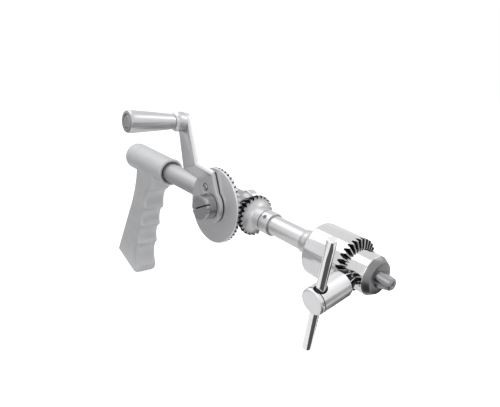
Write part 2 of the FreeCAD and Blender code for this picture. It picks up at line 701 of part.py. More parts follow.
def key_shank():
    cone = math.atan2(KEY_TEETH, RING_TEETH)
    tip_r = KEY_MODULE * KEY_TEETH / 2.0 + KEY_MODULE * math.cos(cone)
    tip_w = KEY_MODULE * RING_TEETH / 2.0 - KEY_MODULE * math.sin(cone)
    slope = tip_r / tip_w
    inner = NOSE_R + 0.35
    end = KEY_END_W
    r = KEY_BODY_R
    profile = [
        (PILOT_IN_W, 0), (PILOT_IN_W, PILOT_R - 0.5), (PILOT_IN_W + 0.5, PILOT_R), (inner, PILOT_R),
        (inner, inner * slope), (r / slope, r), (end - 2.6, r), (end - 2.3, r - 0.3), (end - 2.0, r),
        (end - 1.1, r), (end - 0.2, r - 0.55), (end, r - 1.4), (end + 0.15, 0)]
    shank = turned(profile, Z_AXIS, X_AXIS)
    tool = gap_tool(KEY_MODULE, KEY_TEETH, RING_TEETH, 0.70, 1.11, 0.10)
    tools = []
    for i in range(KEY_TEETH):
        t = tool.copy()
        t.rotate(V(0, 0, 0), Z_AXIS, (i + 0.5) * 360.0 / KEY_TEETH)
        tools.append(t)
    shank = shank.cut(Part.makeCompound(tools))
    across = bar_direction()
    start = V(0, 0, BAR_W) - across * 20
    hole = rod(start, across, BAR_R, 40)
    mouth = Part.makeCone(BAR_R, BAR_R + 2.4, 2.4, V(0, 0, BAR_W) + across * (r - 1.6), across)
    other = Part.makeCone(BAR_R, BAR_R + 2.4, 2.4, V(0, 0, BAR_W) - across * (r - 1.6), across * -1)
    return key_place(shank.cut(hole.fuse([mouth, other])))


def bar_direction():
    """Direction of the tommy bar across the key, local axes: X towards the sleeve, Y across."""
    a = math.radians(BAR_LEAN)
    return V(math.sin(a), math.cos(a), 0)


def key_bar():
    across = bar_direction()
    start = V(0, 0, BAR_W) - across * BAR_HALF
    bar = rod(start, across, BAR_R - 0.01, 2 * BAR_HALF)
    ends = [e for e in bar.Edges if e.Closed]
    return key_place(bar.makeFillet(0.5, ends))


def all_parts():
    parts = {
        "grip_handle": grip_handle(),
        "stem_tube": stem_tube(),
        "stem_screw": stem_screw(),
        "gear_frame": gear_frame(),
        "mandrel": mandrel(),
        "axle_screw": axle_screw(),
        "axle_nut": axle_nut(),
        "thrust_washer": thrust_washer(),
        "crank_gear": crank_gear(),
        "crank_bush": crank_bush(),
        "crank_arm": crank_arm(),
        "arm_screw": arm_screw(),
        "knob_collar": knob_collar(),
        "knob_pin": knob_pin(),
        "crank_knob": crank_knob(),
        "knob_bush": knob_bush(),
        "bevel_pinion": bevel_pinion(),
        "spindle_tube": spindle_tube(),
        "retaining_collar": retaining_collar(),
        "collar_screw": collar_screw(),
        "rear_bush": spindle_bush(18.0, 33.0),
        "front_bush": spindle_bush(52.0, 67.0),
        "chuck_arbor": chuck_arbor(),
        "chuck_body": chuck_body(),
        "chuck_sleeve": chuck_sleeve(),
        "jaw_nut_left": jaw_nut(1),
        "jaw_nut_right": jaw_nut(-1),
        "key_shank": key_shank(),
        "key_bar": key_bar(),
    }
    for i in range(3):
        parts["jaw_%d" % (i + 1)] = chuck_jaw(i)
    return parts


def main():
    os.makedirs("parts", exist_ok=True)
    for name, shape in all_parts().items():
        solid = shift(shape, V(-JAW_TIP_X, 0, 0))
        solids = solid.Solids
        print("%-18s solids %d valid %s volume %9.1f" % (name, len(solids), solid.isValid(), solid.Volume))
        solids[0].exportStep("parts/%s.step" % name)


main()
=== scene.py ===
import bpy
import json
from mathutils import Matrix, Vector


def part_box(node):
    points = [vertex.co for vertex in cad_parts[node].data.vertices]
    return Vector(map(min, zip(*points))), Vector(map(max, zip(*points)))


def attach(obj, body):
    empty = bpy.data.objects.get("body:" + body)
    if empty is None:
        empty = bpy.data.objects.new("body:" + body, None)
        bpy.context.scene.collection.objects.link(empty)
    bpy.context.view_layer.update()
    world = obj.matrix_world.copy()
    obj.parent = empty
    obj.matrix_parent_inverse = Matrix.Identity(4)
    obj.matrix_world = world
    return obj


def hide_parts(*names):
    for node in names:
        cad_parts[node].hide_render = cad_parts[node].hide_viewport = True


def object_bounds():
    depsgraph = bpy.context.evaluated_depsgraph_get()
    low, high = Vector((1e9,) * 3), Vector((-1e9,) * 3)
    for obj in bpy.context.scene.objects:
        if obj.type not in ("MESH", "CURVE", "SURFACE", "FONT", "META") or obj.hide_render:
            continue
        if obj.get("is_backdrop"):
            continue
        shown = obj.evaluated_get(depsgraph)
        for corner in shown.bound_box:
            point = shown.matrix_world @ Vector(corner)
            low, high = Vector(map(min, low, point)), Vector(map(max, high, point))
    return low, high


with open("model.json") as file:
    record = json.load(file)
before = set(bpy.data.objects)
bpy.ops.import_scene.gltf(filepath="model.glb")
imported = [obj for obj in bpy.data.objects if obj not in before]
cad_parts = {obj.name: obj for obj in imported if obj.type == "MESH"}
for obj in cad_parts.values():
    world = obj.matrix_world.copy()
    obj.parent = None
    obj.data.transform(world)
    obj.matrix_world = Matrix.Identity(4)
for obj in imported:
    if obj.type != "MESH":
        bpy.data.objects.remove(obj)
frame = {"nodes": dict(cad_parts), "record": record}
cad_low, cad_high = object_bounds()
print("solids", len(frame["nodes"]), "box", cad_low, cad_high)

# %% [markdown]
# # A hand-cranked bone drill
#
# The drill is an all-metal instrument: a cast grip, a crank with a bevel gear, a long spindle
# and a keyed chuck. The solids already have every piece at its real size. This lesson gives
# the pieces their finished surfaces: broken edges, turned and blasted finishes, and light.
#
# Lengths are metres in the solids' own frame. The spindle runs along X through the origin,
# the crank axle runs along Y, and the origin is the middle of the closed jaw tips.

# %% Modules, the three axes, and the angles that several pieces share
import json
import math

import bmesh
import bpy
from mathutils import Matrix, Vector

MM = 0.001
X_AXIS = Vector((1, 0, 0))
Y_AXIS = Vector((0, 1, 0))
Z_AXIS = Vector((0, 0, 1))
ORIGIN = Vector((0, 0, 0))
KEY_AZIMUTH = math.radians(103.2)
BAR_LEAN = math.radians(12.0)
JAW_ANGLE = math.radians(12.0)
KEY_X = -18.8 * MM
MERGE = 0.001 * MM


def middle(node):
    """The middle of a solid's box."""
    low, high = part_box(node)
    return (low + high) / 2


axle = Vector((middle("axle_nut").x, 0, 0))
crank_radius = (middle("knob_bush") - axle).xz.length
print("axle at x", round(axle.x, 4), "crank radius", round(crank_radius, 4))

# %% [markdown]
# ## Finishes
#
# Bare metal has no paint to hide behind, so each finish is told by how rough it is and which
# way its marks run. Every material here is the same small tree: a fine noise for the marks of
# the tool or the blasting, and a broad noise for handling. The fine noise drives a bump, and
# both move the roughness and the colour a little. Stretching the fine noise turns it into
# lathe rings or a straight grain, so one function covers all of the drill's metals.

# %% One function for all of the metals
NOISE_LOW = 0.3
NOISE_HIGH = 0.7
BROAD_SHARE = 0.45
MARK_DEPTH = 0.05 * MM
SMOOTHEST = 0.03


def metal(
        name, colour, roughness, grain, bump,
        shade=0.06, metallic=1.0, spread=0.06, blotch=45.0):
    """grain is the fine noise's scale along X, Y and Z, and blotch the broad one's, per metre."""
    material = bpy.data.materials.new(name)
    material.use_nodes = True
    nodes = material.node_tree.nodes
    links = material.node_tree.links
    shader = nodes["Principled BSDF"]
    shader.inputs["Metallic"].default_value = metallic
    place = nodes.new("ShaderNodeTexCoord")
    stretch = nodes.new("ShaderNodeMapping")
    stretch.inputs["Scale"].default_value = grain
    links.new(place.outputs["Object"], stretch.inputs["Vector"])

    fine = nodes.new("ShaderNodeTexNoise")
    fine.inputs["Scale"].default_value = 1.0
    fine.inputs["Detail"].default_value = 4.0
    links.new(stretch.outputs["Vector"], fine.inputs["Vector"])
    broad = nodes.new("ShaderNodeTexNoise")
    broad.inputs["Scale"].default_value = blotch
    broad.inputs["Detail"].default_value = 3.0
    links.new(place.outputs["Object"], broad.inputs["Vector"])

    both = nodes.new("ShaderNodeMix")
    both.data_type = "FLOAT"
    both.inputs["Factor"].default_value = BROAD_SHARE
    links.new(fine.outputs["Fac"], both.inputs["A"])
    links.new(broad.outputs["Fac"], both.inputs["B"])

    tint = nodes.new("ShaderNodeValToRGB")
    darker, lighter = tint.color_ramp.elements
    darker.position = NOISE_LOW
    darker.color = [c * (1 - shade) for c in colour] + [1]
    lighter.position = NOISE_HIGH
    lighter.color = [min(1, c * (1 + shade)) for c in colour] + [1]
    links.new(both.outputs["Result"], tint.inputs["Fac"])
    links.new(tint.outputs["Color"], shader.inputs["Base Color"])

    dull = nodes.new("ShaderNodeMapRange")
    dull.inputs["From Min"].default_value = NOISE_LOW
    dull.inputs["From Max"].default_value = NOISE_HIGH
    dull.inputs["To Min"].default_value = max(SMOOTHEST, roughness - spread)
    dull.inputs["To Max"].default_value = roughness + spread
    links.new(both.outputs["Result"], dull.inputs["Value"])
    links.new(dull.outputs["Result"], shader.inputs["Roughness"])

    relief = nodes.new("ShaderNodeBump")
    relief.inputs["Strength"].default_value = bump
    relief.inputs["Distance"].default_value = MARK_DEPTH
    links.new(fine.outputs["Fac"], relief.inputs["Height"])
    links.new(relief.outputs["Normal"], shader.inputs["Normal"])
    return material


# %% [markdown]
# A fine noise of the same scale on all three axes looks blasted or satin. A noise that is
# drawn out across X and packed along it looks like the rings that a lathe leaves. The record
# gives eight slots, and a few pieces need a finish between two of them.

# %% The finishes of the slots, and those of single pieces
EVEN = (2600, 2600, 2600)
RINGS_X = (900, 8, 8)
finishes = {
    "blasted_aluminium": metal(
        "blasted aluminium", (0.60, 0.605, 0.615), 0.50, EVEN, 0.40,
        shade=0.09, metallic=0.6, blotch=130.0),
    "satin_steel": metal("satin steel", (0.55, 0.55, 0.565), 0.40, EVEN, 0.12),
    "bright_steel": metal("turned steel", (0.60, 0.60, 0.61), 0.32, RINGS_X, 0.02),
    "ground_steel": metal("ground steel", (0.24, 0.24, 0.245), 0.32, RINGS_X, 0.05),
    "dark_steel": metal("dark steel", (0.22, 0.22, 0.23), 0.38, EVEN, 0.10),
    "satin_nickel": metal("satin nickel", (0.78, 0.78, 0.79), 0.27, EVEN, 0.05),
    "chrome_plate": metal("chrome plate", (0.89, 0.89, 0.90), 0.06, EVEN, 0.01, spread=0.02),
    "bronze": metal("bearing bronze", (0.55, 0.38, 0.20), 0.35, RINGS_X, 0.06),
}
polished = metal("polished steel", (0.67, 0.67, 0.68), 0.11, RINGS_X, 0.01, spread=0.03)
soft_satin = metal("satin steel of the stem", (0.46, 0.46, 0.475), 0.50, EVEN, 0.08)
gear_satin = metal("satin steel of the pinion", (0.57, 0.57, 0.58), 0.42, EVEN, 0.14, shade=0.10)
frame_satin = metal(
    "satin steel of the frame", (0.36, 0.36, 0.37), 0.30, EVEN, 0.20, shade=0.20, blotch=300.0)
key_polish = metal("polished key steel", (0.76, 0.76, 0.77), 0.34, EVEN, 0.02, spread=0.04)
# Ground steel for edges, painted lighter than the faces beside them as a highlight.
ground_edge_highlight = metal("ground edges painted as highlight", (0.68, 0.68, 0.69), 0.34, EVEN, 0.04)
jaw_finish = metal("hardened jaw steel", (0.32, 0.32, 0.33), 0.30, RINGS_X, 0.03)
knob_finish = metal("turned steel of the knob", (0.58, 0.58, 0.59), 0.34, EVEN, 0.01)
# The knob's steel in a darker copy, painted on the faced end and the rivet as shade.
faced_end_shade = metal("faced steel painted darker as shade", (0.36, 0.36, 0.37), 0.34, EVEN, 0.06)
screw_finish = metal("polished screw steel", (0.37, 0.37, 0.38), 0.22, EVEN, 0.03, spread=0.04)
# Near black, painted into tooth gaps, slots, holes and the joints between parts as the shade that
# falls there.
painted_shade = metal("painted shade in gaps, slots and joints", (0.045, 0.045, 0.048), 0.50, EVEN, 0.10)
print("finishes", len(bpy.data.materials))

# %% [markdown]
# Every solid gets the finish of its own material slot first. A piece that is modelled afresh
# below takes the finish of its slot too, unless it is given one of its own.

# %% Give each solid the finish of its slot
slot_of = {}
for part in frame["record"]["subparts"]:
    slot_of[part["node"]] = part["material_slot"]
body_of = {}
for body, members in frame["record"]["behaviour"]["bodies"].items():
    for member in members:
        body_of[member] = body
for name, node in frame["nodes"].items():
    node.data.materials.clear()
    node.data.materials.append(finishes[slot_of[name]])
print("solids with a finish", len(slot_of))

# %% [markdown]
# ## Tools for turned pieces
#
# Most of a drill is made on a lathe, so most of this model is a spin: a few vertices for half
# of the outline, joined by edges and spun round the axis. Real turned edges are never sharp.
# The bevel operator breaks every edge where two faces meet at a real corner.

# %% Spin an outline, break its edges, and make the piece


def turn(outline, centre, axis, steps=96):
    """outline is a list of (distance along the axis from centre, radius)."""
    mesh = bmesh.new()
    side = Z_AXIS if abs(axis.z) < 0.9 else X_AXIS
    side = (side - axis * side.dot(axis)).normalized()
    points = [mesh.verts.new(centre + axis * s + side * r) for s, r in outline]
    edges = [mesh.edges.new(pair) for pair in zip(points, points[1:])]
    bmesh.ops.spin(
        mesh, geom=points + edges, cent=centre, axis=axis, dvec=(0, 0, 0),
        angle=2 * math.pi, steps=steps, use_merge=True, use_duplicate=False)
    bmesh.ops.remove_doubles(mesh, verts=mesh.verts, dist=MERGE)
    bmesh.ops.recalc_face_normals(mesh, faces=mesh.faces)
    return mesh


def rod_outline(start, end, radius):
    """The four points of a plain rod."""
    return [(start, 0), (start, radius), (end, radius), (end, 0)]


def break_edges(mesh, width, segments=2, corner=30):
    """Bevel every edge at which the surface turns by more than corner degrees."""
    sharp = [e for e in mesh.edges if e.is_manifold and e.calc_face_angle() > math.radians(corner)]
    bmesh.ops.bevel(
        mesh, geom=sharp, offset=width, offset_type="OFFSET", segments=segments,
        profile=0.5, affect="EDGES", clamp_overlap=True, material=-1)


def mark(faces, inside):
    """Give the second finish to faces whose middle passes the test, and the first to the rest."""
    for face in faces:
        face.material_index = int(inside(face.calc_center_median()))


SMOOTH_BELOW = math.radians(35)


def make(mesh, name, node, finish=None, second=painted_shade, third=painted_shade):
    """Turn a bmesh into a piece that stands for one solid and rides on that solid's body."""
    data = bpy.data.meshes.new(name)
    mesh.to_mesh(data)
    mesh.free()
    for face in data.polygons:
        face.use_smooth = True
    data.set_sharp_from_angle(angle=SMOOTH_BELOW)
    data.materials.append(finish or finishes[slot_of[node]])
    for extra in (second, third)[:max(face.material_index for face in data.polygons)]:
        data.materials.append(extra)
    piece = bpy.data.objects.new(name, data)
    bpy.context.scene.collection.objects.link(piece)
    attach(piece, body_of[node])
    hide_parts(node)
    print(name, "faces", len(data.polygons))
    return piece


# %% [markdown]
# ## The grip
#
# The grip is one aluminium casting, blasted to a fine matt surface. The solid has the right
# outline, but a casting has soft inside corners where the leg runs into the barrel. Rebuilding
# the surface from small voxels and then relaxing it rounds inside and outside corners alike,
# which is what a mould and the blasting do.

# %% Rebuild the grip as a casting
VOXEL = 0.5 * MM
RELAX_PASSES = 2


def casting(node, name):
    """A copy of a solid, rebuilt from voxels and relaxed so that its corners soften."""
    source = bmesh.new()
    source.from_mesh(frame["nodes"][node].data)
    bmesh.ops.remove_doubles(source, verts=source.verts, dist=MERGE)
    data = bpy.data.meshes.new(name + "_rough")
    source.to_mesh(data)
    source.free()
    rough = bpy.data.objects.new(name + "_rough", data)
    bpy.context.scene.collection.objects.link(rough)
    remesh = rough.modifiers.new("voxels", "REMESH")
    remesh.mode = "VOXEL"
    remesh.voxel_size = VOXEL
    relax = rough.modifiers.new("relax", "SMOOTH")
    relax.factor = 0.5
    relax.iterations = RELAX_PASSES
    graph = bpy.context.evaluated_depsgraph_get()
    finished = bmesh.new()
    finished.from_mesh(rough.evaluated_get(graph).to_mesh())
    bpy.data.objects.remove(rough)
    return finished


make(casting("grip_handle", "grip"), "grip", "grip_handle")

# %% [markdown]
# ## The fixed frame
#
# The stem is a plain satin tube between the grip and the gear frame. A rod of the same outside
# is enough, because both of its ends are hidden. Its outline is four points and one spin.

# %% The stem tube
STEM_EDGE = 0.3 * MM


def radius_of(node):
    """Half the height of a round solid's box."""
    low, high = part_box(node)
    return (high.z - low.z) / 2


low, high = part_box("stem_tube")
tube_r = radius_of("stem_tube")
mesh = turn(rod_outline(low.x, high.x, tube_r), ORIGIN, X_AXIS)
break_edges(mesh, STEM_EDGE)
make(mesh, "stem", "stem_tube", soft_satin)

# %% [markdown]
# The block that carries the crank axle was turned like the tube and then milled flat on two
# sides. A spin makes the round form, and bisect_plane with the outer side cleared is the
# milling cutter. The open cut is closed with holes_fill.

# %% The gear frame block
CUT_DIST = 1e-7
REAR_CHAMFER = 1.5 * MM
FRONT_CHAMFER = 2.5 * MM
BLOCK_EDGE = 0.35 * MM


def slice_at(mesh, point, normal, clear_outer):
    """Draw a line of edges where a plane meets the mesh, and clear what is beyond it if asked."""
    geometry = mesh.verts[:] + mesh.edges[:] + mesh.faces[:]
    bmesh.ops.bisect_plane(
        mesh, geom=geometry, plane_co=point, plane_no=normal, clear_outer=clear_outer, dist=CUT_DIST)


def mill(mesh, point, normal):
    """Cut away what lies beyond a plane and close the cut."""
    slice_at(mesh, point, normal, True)
    rim = [e for e in mesh.edges if e.is_boundary]
    bmesh.ops.holes_fill(mesh, edges=rim, sides=0)


low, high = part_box("gear_frame")
block_r = radius_of("gear_frame")
outline = [
    (low.x, 0), (low.x, block_r - REAR_CHAMFER), (low.x + REAR_CHAMFER, block_r),
    (high.x - FRONT_CHAMFER, block_r), (high.x, block_r - FRONT_CHAMFER), (high.x, 0)]
mesh = turn(outline, ORIGIN, X_AXIS)
mill(mesh, low, -Y_AXIS)
mill(mesh, high, Y_AXIS)
break_edges(mesh, BLOCK_EDGE)
make(mesh, "gear_block", "gear_frame", frame_satin)

# %% [markdown]
# ## The axle screw
#
# The crank turns on a screw with a broad drum head, and the photo shows its single slot. The
# head and shank are one spin. The slot goes right across, so it is cut with a boolean from a
# thin block that is leaned like the real slot.

# %% The axle screw with its slot
SLOT_W = 1.0 * MM
SLOT_DEPTH = 3.0 * MM
SLOT_TURN = math.radians(-28)
HEAD_EDGE = 0.5 * MM
HEAD_PLAY = 0.25 * MM
EXTRA_RING = 0.1 * MM
AXLE_R = 5.0 * MM


def apply_cut(mesh, cutter):
    """Subtract one bmesh from another with an exact boolean."""
    parts = []
    for shape, name in ((mesh, "cut_body"), (cutter, "cut_tool")):
        data = bpy.data.meshes.new(name)
        shape.to_mesh(data)
        shape.free()
        thing = bpy.data.objects.new(name, data)
        bpy.context.scene.collection.objects.link(thing)
        parts.append(thing)
    cut = parts[0].modifiers.new("cut", "BOOLEAN")
    cut.operation = "DIFFERENCE"
    cut.solver = "EXACT"
    cut.object = parts[1]
    graph = bpy.context.evaluated_depsgraph_get()
    result = bmesh.new()
    result.from_mesh(parts[0].evaluated_get(graph).to_mesh())
    for thing in parts:
        bpy.data.objects.remove(thing)
    return result


def slot_block(centre, size, turn_angle):
    """A block for cutting a screw slot in a head that faces -Y."""
    block = bmesh.new()
    bmesh.ops.create_cube(block, size=1.0)
    bmesh.ops.scale(block, vec=size, verts=block.verts)
    lean = Matrix.Rotation(turn_angle, 3, "Y")
    bmesh.ops.rotate(block, cent=ORIGIN, matrix=lean, verts=block.verts)
    bmesh.ops.translate(block, vec=centre, verts=block.verts)
    return block


low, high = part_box("axle_screw")
head_r = radius_of("axle_screw")
head_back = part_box("crank_bush")[0].y - HEAD_PLAY
outline = [
    (low.y, 0), (low.y, head_r - HEAD_EDGE), (low.y + 0.3 * HEAD_EDGE, head_r - 0.3 * HEAD_EDGE),
    (low.y + HEAD_EDGE, head_r), (low.y + SLOT_DEPTH + EXTRA_RING, head_r), (head_back, head_r),
    (head_back, AXLE_R), (high.y, AXLE_R), (high.y, 0)]
mesh = turn(outline, axle, Y_AXIS)
slot_centre = axle + Y_AXIS * low.y
block = slot_block(slot_centre, (3 * head_r, 2 * SLOT_DEPTH, SLOT_W), SLOT_TURN)
mesh = apply_cut(mesh, block)


WALL_SHARE = 0.51
RIM_SHARE = 0.97
FACE_SKIN = 0.05 * MM


def in_slot(centre, turn_angle, width, radius):
    """A test for the walls of a slot that was cut into a head facing -Y."""
    across = Vector((math.sin(turn_angle), 0, math.cos(turn_angle)))

    def inside(point):
        step = point - centre
        in_band = abs(step.dot(across)) < WALL_SHARE * width and step.y > FACE_SKIN
        return in_band and step.xz.length < RIM_SHARE * radius

    return inside


# The slot walls are painted near black, as the shade inside the slot.
mark(mesh.faces, in_slot(slot_centre, SLOT_TURN, SLOT_W, head_r))
make(mesh, "axle_screw_head", "axle_screw", screw_finish)

# %% [markdown]
# A smaller slotted screw keys the crank arm to the gear. It sits in a counterbore with a thin
# gap round its head, and its slot leans the other way. It is made like the large one. Its slot
# walls and the side of its head are painted near black, so that the shade in the gap reads as a
# ring.

# %% The small screw in the arm
SMALL_SLOT_W = 0.85 * MM
SMALL_SLOT_DEPTH = 1.0 * MM
SMALL_SLOT_TURN = math.radians(29.4)
SMALL_GAP = 0.35 * MM
SMALL_EDGE = 0.3 * MM
SMALL_HEAD_DEPTH = 1.8 * MM


def foot_of(node):
    """Where the axis of a piece that lies along Y meets the middle plane of the drill."""
    spot = middle(node)
    return Vector((spot.x, 0, spot.z))


low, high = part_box("arm_screw")
small_r = radius_of("arm_screw")
small_head_r = small_r - SMALL_GAP
small_shank_r = 0.6 * small_r
small_axis = foot_of("arm_screw")
head_back = low.y + SMALL_HEAD_DEPTH
outline = [
    (low.y, 0), (low.y, small_head_r - SMALL_EDGE), (low.y + SMALL_EDGE, small_head_r),
    (head_back, small_head_r), (head_back, small_shank_r), (high.y, small_shank_r), (high.y, 0)]
mesh = turn(outline, small_axis, Y_AXIS, steps=64)
slot_centre = small_axis + Y_AXIS * low.y
block = slot_block(slot_centre, (3 * small_r, 2 * SMALL_SLOT_DEPTH, SMALL_SLOT_W), SMALL_SLOT_TURN)
mesh = apply_cut(mesh, block)
small_slot = in_slot(slot_centre, SMALL_SLOT_TURN, SMALL_SLOT_W, small_r)
# The slot walls and the side of the head are painted near black as shade.
mark(mesh.faces, lambda p: small_slot(p) or p.y > low.y + SMALL_GAP)
make(mesh, "arm_screw_head", "arm_screw", finishes["satin_steel"])

# %% [markdown]
# ## The knob
#
# The turning knob tapers to a thin neck, and its fat end has a rounded lip with a broad pin
# head let into it. It is turned steel, so it is a spin about its own axis, which stands off
# the axle by the crank's radius. The radii follow a smooth curve between the two ends.

# %% The knob
KNOB_NECK_R = 4.9 * MM
PIN_RECESS_R = 4.25 * MM
PIN_RECESS_DEPTH = 2.5 * MM
LIP = ((0.0, 1.0), (0.35, 0.4), (1.2, 0.06))
LIP_DEPTH = 2.4 * MM
HOLLOW = 0.25
KNOB_EDGE = 0.2 * MM
END_BAND = 0.6 * MM
knob_low, knob_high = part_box("crank_knob")
knob_axis = foot_of("crank_knob")
knob_r = radius_of("crank_knob")


def knob_outline(steps=14):
    """Recess and lip, then a taper that is slightly hollow towards the neck.

    LIP gives how far each point of the lip lies back from the end and in from the full radius.
    """
    front = knob_low.y
    floor = front + PIN_RECESS_DEPTH
    lip = [(floor, 0), (floor, PIN_RECESS_R), (front, PIN_RECESS_R)]
    lip += [(front + back * MM, knob_r - inset * MM) for back, inset in LIP]
    length = knob_high.y - front - LIP_DEPTH
    body = []
    for i in range(steps + 1):
        share = i / steps
        fall = (1 - HOLLOW) * share + HOLLOW * share * share
        body.append((front + LIP_DEPTH + share * length, knob_r - (knob_r - KNOB_NECK_R) * fall))
    return lip + body + [(knob_high.y, 0)]


mesh = turn(knob_outline(), knob_axis, Y_AXIS)
break_edges(mesh, KNOB_EDGE, corner=50)
# The end band and the pin recess are painted a darker copy of the knob's steel, as shade on the end.
mark(mesh.faces, lambda p: p.y < knob_low.y + END_BAND or (p - knob_axis).xz.length < PIN_RECESS_R)
make(mesh, "knob", "crank_knob", knob_finish, faced_end_shade)

# %% [markdown]
# A round spacer stands between the knob and the arm, and tapers towards the knob's neck. A
# riveted pin with a broad, flat head holds all three together. Its end is faced, not polished,
# and like the knob's end it is painted a darker copy of the knob's steel, as shade on the end.

# %% The spacer and the riveted pin
COLLAR_TAPER = 2.0 * MM
COLLAR_DROP = 1.3 * MM
SPACER_EDGE = 0.25 * MM
PIN_EDGE = 0.25 * MM
PIN_HEAD_DEPTH = 2.1 * MM
PIN_SHANK_R = 2.49 * MM
PIN_END_R = 2.1 * MM
PIN_END_EDGE = 0.4 * MM
low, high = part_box("knob_collar")
collar_r = radius_of("knob_collar")
outline = [
    (low.y, 0), (low.y, collar_r - COLLAR_DROP), (low.y + COLLAR_TAPER, collar_r),
    (high.y, collar_r), (high.y, 0)]
mesh = turn(outline, knob_axis, Y_AXIS)
break_edges(mesh, SPACER_EDGE, corner=20)
make(mesh, "knob_neck", "knob_collar", knob_finish)

low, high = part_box("knob_pin")
pin_r = radius_of("knob_pin")
head_back = low.y + PIN_HEAD_DEPTH
outline = [
    (low.y, 0), (low.y, pin_r - PIN_EDGE), (low.y + PIN_EDGE, pin_r), (head_back, pin_r),
    (head_back, PIN_SHANK_R), (high.y - PIN_END_EDGE, PIN_SHANK_R), (high.y, PIN_END_R),
    (high.y, 0)]
make(turn(outline, knob_axis, Y_AXIS), "knob_rivet", "knob_pin", faced_end_shade)

# %% [markdown]
# ## The spindle
#
# From the pinion to the chuck the spindle is one bright tube, and it opens into a flared collar
# at the chuck. Both share the X axis. The flare's outline is given as distance from its start
# and radius, both in millimetres, which reads like a turner's drawing.

# %% The spindle tube and the flared collar
SPINDLE_EDGE = 0.2 * MM
FLARE_EDGE = 0.15 * MM
low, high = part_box("spindle_tube")
spindle_r = radius_of("spindle_tube")
mesh = turn(rod_outline(low.x, high.x, spindle_r), ORIGIN, X_AXIS)
break_edges(mesh, SPINDLE_EDGE)
make(mesh, "spindle", "spindle_tube")

FLARE_TO_END = 21.6 * MM
FLARE_LENGTH = 12.6
FLARE_R = 10.0
low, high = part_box("chuck_arbor")
flare_x = high.x - FLARE_TO_END
flare = [
    (0.0, 0), (0.0, 6.7), (0.5, 7.1), (3.1, 7.4), (5.1, 7.9), (6.9, 8.7), (8.2, 9.6),
    (9.4, FLARE_R), (FLARE_LENGTH, FLARE_R), (FLARE_LENGTH, 0)]
outline = [(flare_x + s * MM, r * MM) for s, r in flare]
mesh = turn(outline, ORIGIN, X_AXIS)
break_edges(mesh, FLARE_EDGE, corner=50)
make(mesh, "flared_collar", "chuck_arbor")

# %% [markdown]
# ## Milled and stamped pieces
#
# The crank arm and the jaws are cut from solid, so their solids in the frame already have
# the right planes and holes. What they lack is a broken edge. A copy of the solid is merged
# into one skin, its flat facets are dissolved into whole faces, and its corners are bevelled.

# %% Copies of solids with broken edges
FACET_ANGLE = math.radians(1)


def eased_copy(node, width, corner=35):
    """A copy of a solid's mesh in whole faces, with its corners bevelled."""
    mesh = bmesh.new()
    mesh.from_mesh(frame["nodes"][node].data)
    bmesh.ops.remove_doubles(mesh, verts=mesh.verts, dist=MERGE)
    bmesh.ops.dissolve_limit(
        mesh, angle_limit=FACET_ANGLE, use_dissolve_boundaries=False,
        verts=mesh.verts, edges=mesh.edges)
    break_edges(mesh, width, corner=corner)
    return mesh


# %% [markdown]
# The arm is flat steel. Its side walls are ground, and painted lighter than its faces as a
# highlight along them. A dark line is painted where its lobe lies on the disc, as the shade in
# that joint. bisect_plane cuts the edges in two just above the disc, and the half next to the
# disc is painted near black, so that the line stays sharp from every side.

# %% The crank arm
ARM_EDGE = 0.5 * MM
SHADOW_HEIGHT = 0.8 * MM
FACING = 0.95
EDGEWISE = 0.3
disc_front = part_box("crank_gear")[0].y
shadow_line = disc_front - SHADOW_HEIGHT
mesh = eased_copy("crank_arm", ARM_EDGE)
slice_at(mesh, Y_AXIS * shadow_line, Y_AXIS, False)
# Faces next to the disc are painted near black as the shade where the arm lies on it, and the side
# walls are ground steel painted lighter as a highlight.
for face in mesh.faces:
    spot = face.calc_center_median()
    if spot.y > shadow_line and face.normal.y < FACING:
        face.material_index = 2
    elif abs(face.normal.y) < EDGEWISE:
        face.material_index = 1
make(mesh, "arm", "crank_arm", second=ground_edge_highlight)

# %% [markdown]
# The chuck's nose is polished where it is round and only ground on its bevel and front face,
# so it takes two finishes. It is a spin with three key holes and three leaning jaw bores. Each
# hole is a boolean with a spun pin, placed by its angle from the key.

# %% The chuck nose
NOSE_R = 11.05 * MM
NOSE_BEVEL = 3.5 * MM
FACE_R = 8.8 * MM
WAIST_R = 9.3 * MM
MOUTH_R = 2.2 * MM
MOUTH_DEPTH = 8.0 * MM
REAR_EDGE = 0.6 * MM
SOFT = 0.1 * MM
KEY_HOLE = rod_outline(6.4 * MM, 13.0 * MM, 2.75 * MM)
JAW_BORE = rod_outline(-4.0 * MM, 34.0 * MM, 3.05 * MM)
JAW_OFFSET = 0.25 * MM
WALL_INSET = 0.3 * MM
low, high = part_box("chuck_body")
body_r = radius_of("chuck_body")
nose_edge = high.x - NOSE_BEVEL
mouth_x = high.x - MOUTH_DEPTH
nut_low, nut_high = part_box("jaw_nut_left")
outline = [
    (low.x, 0), (low.x, body_r - REAR_EDGE), (low.x + REAR_EDGE, body_r), (nut_low.x, body_r),
    (nut_low.x, WAIST_R), (nut_high.x, WAIST_R), (nut_high.x, NOSE_R),
    (nose_edge - 2 * SOFT, NOSE_R), (nose_edge + SOFT, NOSE_R - SOFT),
    (high.x - SOFT, FACE_R + SOFT), (high.x, FACE_R - SOFT), (high.x, MOUTH_R),
    (mouth_x, MOUTH_R), (mouth_x, 0)]
mesh = turn(outline, ORIGIN, X_AXIS, steps=128)


def around(offset):
    """The direction square to the spindle at an angle from the key, seen from the front."""
    azimuth = KEY_AZIMUTH + offset
    return Vector((0, -math.sin(azimuth), math.cos(azimuth)))


